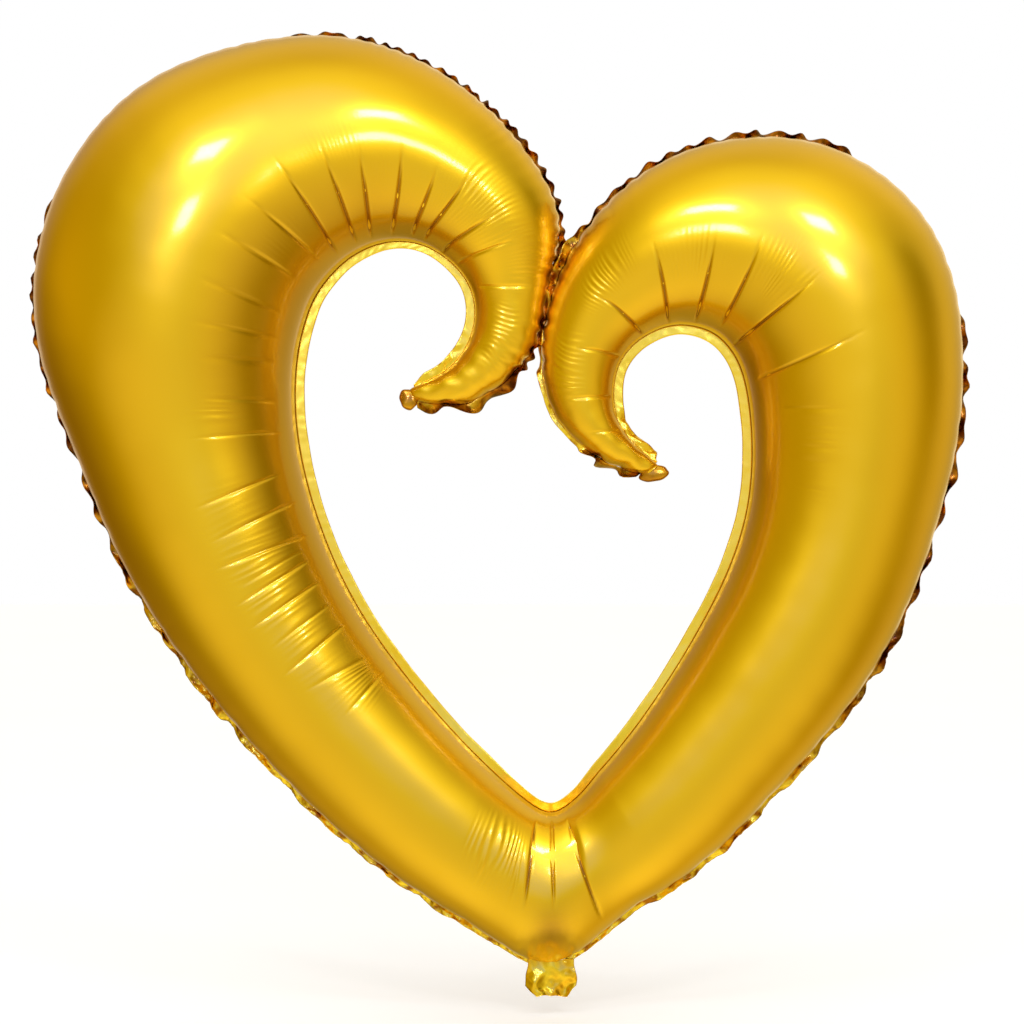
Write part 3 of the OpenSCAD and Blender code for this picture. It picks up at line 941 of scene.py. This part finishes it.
def floor():
    material, nodes, links, shader = node_material("pale_floor")
    shader.inputs["Roughness"].default_value = 0.6
    place = nodes.new("ShaderNodeTexCoord")
    mottle = add_noise(nodes, links, place, 2.0, 2.0)
    pale = two_tone(nodes, links, mottle, (0.90, 0.90, 0.90), (0.94, 0.94, 0.94), 0.0, 1.0)
    links.new(pale.outputs["Color"], shader.inputs["Base Color"])
    size = FLOOR_HALF_SIZE
    z = cad_bounds[0][2] - FLOOR_BELOW
    corners = [(-size, -size, z), (size, -size, z), (size, size, z), (-size, size, z)]
    shader.inputs["Emission Color"].default_value = (1, 1, 1, 1)
    shader.inputs["Emission Strength"].default_value = FLOOR_GLOW
    plane = new_object("studio_floor", corners, [(0, 1, 2, 3)], material)
    plane.visible_glossy = False


def softbox(name, place, size, power):
    data = bpy.data.lights.new(name, "AREA")
    data.shape = "RECTANGLE"
    data.size, data.size_y = size
    data.energy = power
    light = bpy.data.objects.new(name, data)
    aim(light, place, SOFTBOX_AIM)
    light.visible_camera = False
    bpy.context.collection.objects.link(light)


def aim(obj, place, target):
    obj.location = place
    obj.rotation_mode = "QUATERNION"
    obj.rotation_quaternion = (Vector(target) - Vector(place)).to_track_quat("-Z", "Y")


# Soft glows of the studio round the object: (direction, cosine where the glow starts, cosine where
# it is full, colour and strength). The last two take light away.
GLOWS = [
    ((0.0, 0.0, 1.0), 0.4, 1.0, (0.55, 0.45, 0.10)),
    ((0.0, -1.0, 0.7), 0.55, 1.0, (0.50, 0.55, 0.10)),
    ((0.0, -1.0, 0.5), 0.8, 1.0, (0.0, 0.05, 0.95)),
    ((-1.0, -0.3, 0.6), 0.4, 1.0, (0.30, 0.25, 0.0)),
    ((1.0, -0.3, 0.6), 0.4, 1.0, (0.40, 0.35, 0.05)),
    ((0.0, 1.0, 0.6), 0.4, 1.0, (0.30, 0.25, 0.20)),
    ((-1.0, -1.0, 0.0), 0.4, 1.0, (0.15, 0.10, 0.0)),
    ((1.0, -1.0, 0.2), 0.85, 1.0, (0.30, 0.25, 0.05)),
    ((-1.0, 0.7, 0.0), 0.4, 1.0, (0.20, 0.10, 0.0)),
    ((0.8, 1.0, 0.0), 0.4, 1.0, (0.45, 0.35, 0.10)),
    ((0.0, 1.0, 0.0), 0.8, 0.85, (0.30, 0.25, 0.20)),
    ((0.0, -1.0, -1.0), 0.4, 1.0, (0.75, 0.70, 0.20)),
    ((-1.0, -0.2, -0.7), 0.4, 1.0, (0.20, 0.15, 0.0)),
    ((1.0, -0.2, -0.7), 0.4, 1.0, (0.30, 0.20, 0.0)),
    ((0.0, 0.2, -1.0), 0.4, 1.0, (0.45, 0.35, 0.05)),
    ((0.9, -0.25, 0.15), 0.9, 1.0, (-0.35, -0.30, -0.05)),
    ((-0.95, 0.2, -0.35), 0.85, 1.0, (-0.15, -0.10, 0.0)),
]


def studio_world():
    """White to the camera and the floor. The foil reflects a warm room with soft glows in it."""
    world = bpy.data.worlds.new("studio")
    bpy.context.scene.world = world
    world.use_nodes = True
    nodes, links = world.node_tree.nodes, world.node_tree.links
    nodes.clear()
    out = nodes.new("ShaderNodeOutputWorld")
    seen = nodes.new("ShaderNodeBackground")
    seen.inputs["Color"].default_value = (1, 1, 1, 1)
    where = nodes.new("ShaderNodeTexCoord")
    total = None
    for direction, start, full, colour in GLOWS:
        facing = nodes.new("ShaderNodeVectorMath")
        facing.operation = "DOT_PRODUCT"
        links.new(where.outputs["Generated"], facing.inputs[0])
        facing.inputs[1].default_value = unit(np.array(direction))
        glow = nodes.new("ShaderNodeMapRange")
        glow.interpolation_type = "SMOOTHSTEP"
        glow.inputs["From Min"].default_value = start
        glow.inputs["From Max"].default_value = full
        links.new(facing.outputs["Value"], glow.inputs["Value"])
        add = nodes.new("ShaderNodeVectorMath")
        add.operation = "MULTIPLY_ADD"
        links.new(glow.outputs["Result"], add.inputs[0])
        add.inputs[1].default_value = colour
        if total:
            links.new(total.outputs["Vector"], add.inputs[2])
        total = add
    lit = nodes.new("ShaderNodeBackground")
    links.new(total.outputs["Vector"], lit.inputs["Color"])
    path = nodes.new("ShaderNodeLightPath")
    mix = nodes.new("ShaderNodeMixShader")
    links.new(path.outputs["Is Glossy Ray"], mix.inputs["Fac"])
    links.new(seen.outputs["Background"], mix.inputs[1])
    links.new(lit.outputs["Background"], mix.inputs[2])
    links.new(mix.outputs["Shader"], out.inputs["Surface"])


def camera():
    """Level with the middle of the heart and square to it, from a few metres away."""
    data = bpy.data.cameras.new("camera")
    data.sensor_width = 36.0
    data.lens = data.sensor_width * CAMERA_DISTANCE / SEEN_WIDTH
    data.clip_end = 60.0
    obj = bpy.data.objects.new("camera", data)
    aim(obj, (CAMERA_AIM[0], -CAMERA_DISTANCE, CAMERA_AIM[2]), CAMERA_AIM)
    bpy.context.collection.objects.link(obj)
    bpy.context.scene.camera = obj


floor()
studio_world()
for side_name, x in (("left", -0.5), ("right", 0.55)):
    softbox(f"{side_name}_upper_softbox", (x, -1.5, 1.6), (0.34, 0.22), 3.6)
    softbox(f"{side_name}_lower_softbox", (0.85 * x, -1.5, 0.93), (0.18, 0.18), 1.3)
camera()
bpy.context.scene.view_settings.view_transform = "Standard"
